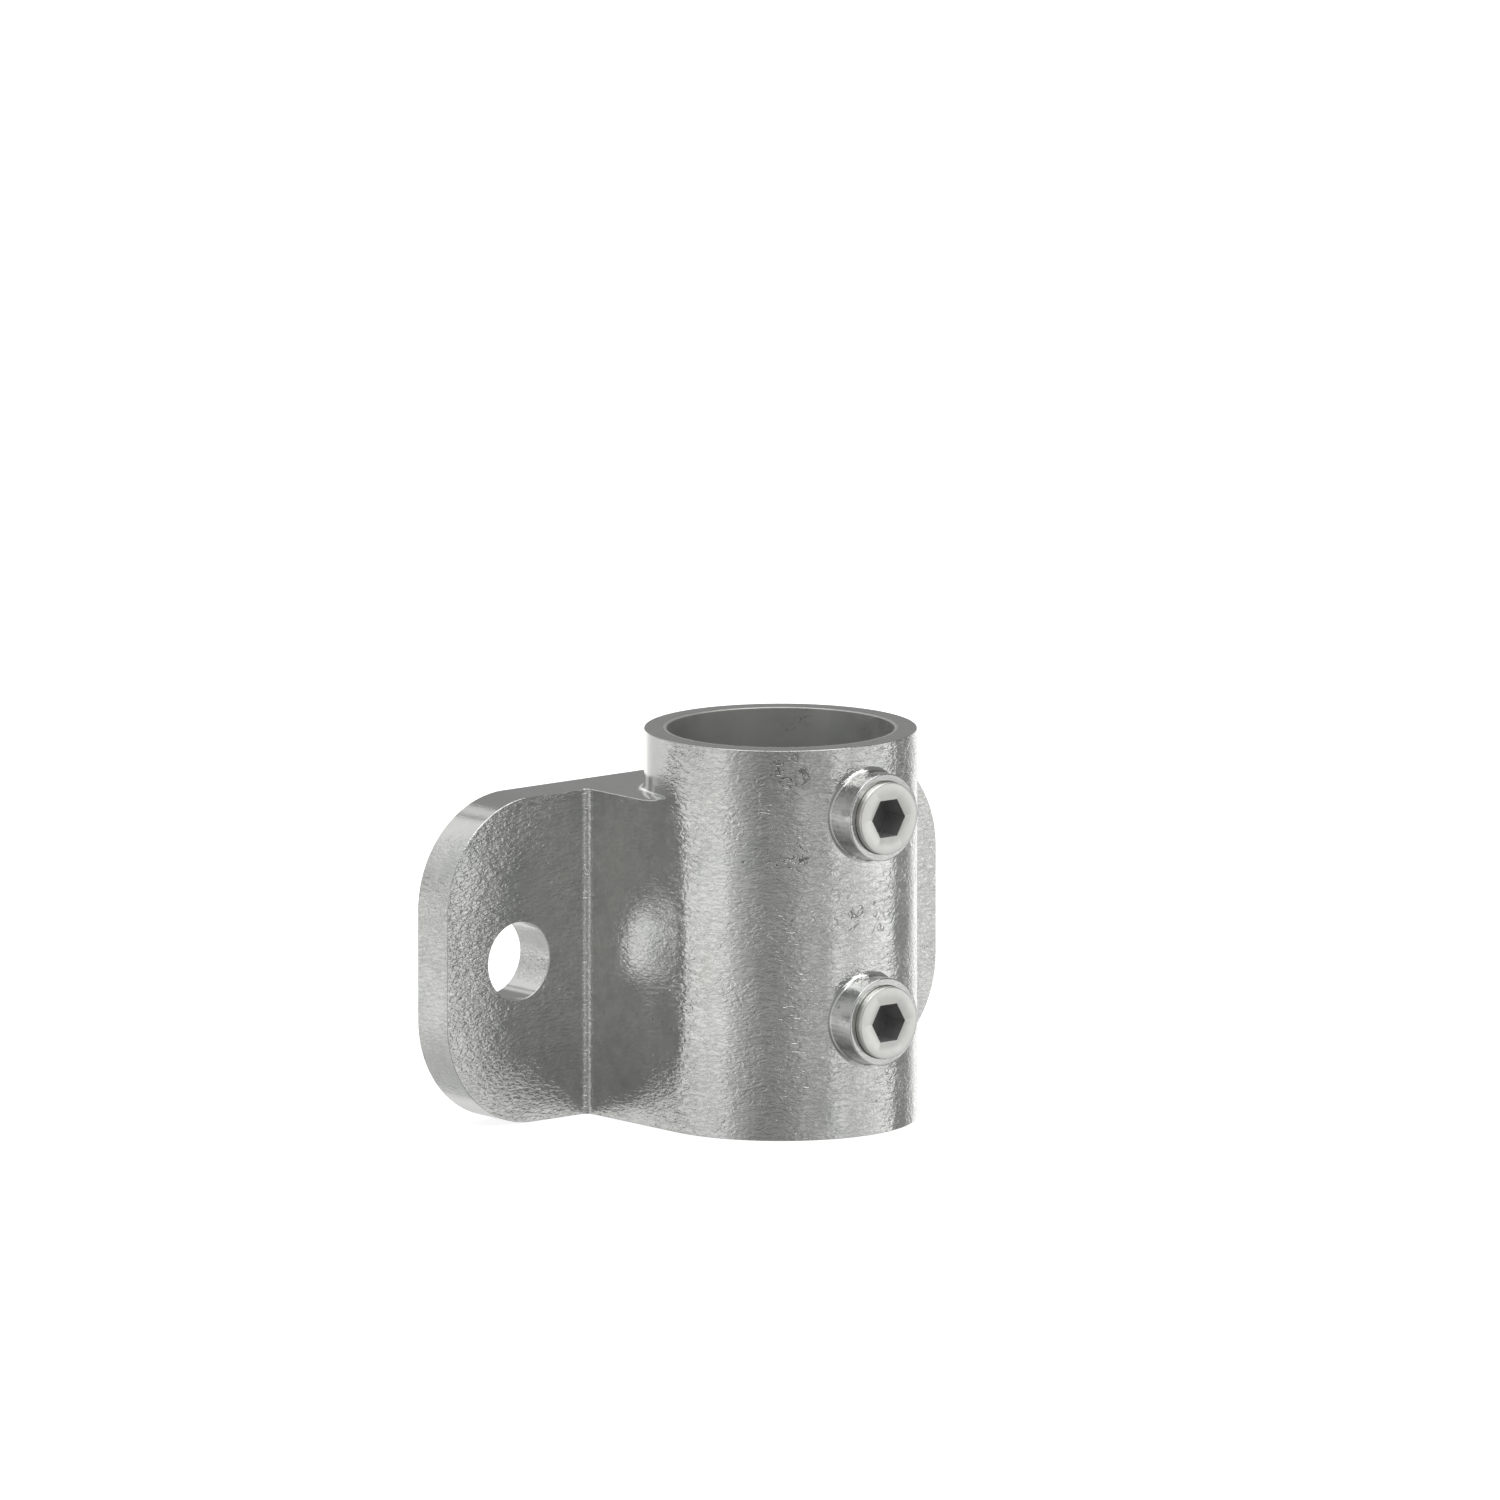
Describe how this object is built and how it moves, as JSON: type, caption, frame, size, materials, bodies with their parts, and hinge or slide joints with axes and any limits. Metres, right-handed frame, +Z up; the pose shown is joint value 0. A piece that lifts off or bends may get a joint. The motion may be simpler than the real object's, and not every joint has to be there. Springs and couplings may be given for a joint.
{
  "type": "tube wall bracket",
  "caption": "Cast iron bracket that holds an upright round tube close to a wall: a tube socket with clamping set screws on a plate with a bolt lug at each side.",
  "frame": {"origin": "on the axis of the tube bore, at the lower end face of the casting", "axes": "+Z up along the tube bore, +Y towards the wall, so that the set screws face -Y, and +X along the plate from lug to lug"},
  "size_m": [0.137, 0.0757, 0.085],
  "materials": {
    "galvanised_iron": "hot-dip galvanised over a slightly rough casting, glossy grey with faint mottling",
    "zinc_steel": "pale satin zinc plate"
  },
  "bodies": {
    "root": {"casting": "galvanised_iron", "upper_set_screw": "zinc_steel", "lower_set_screw": "zinc_steel"}
  },
  "joints": []
}
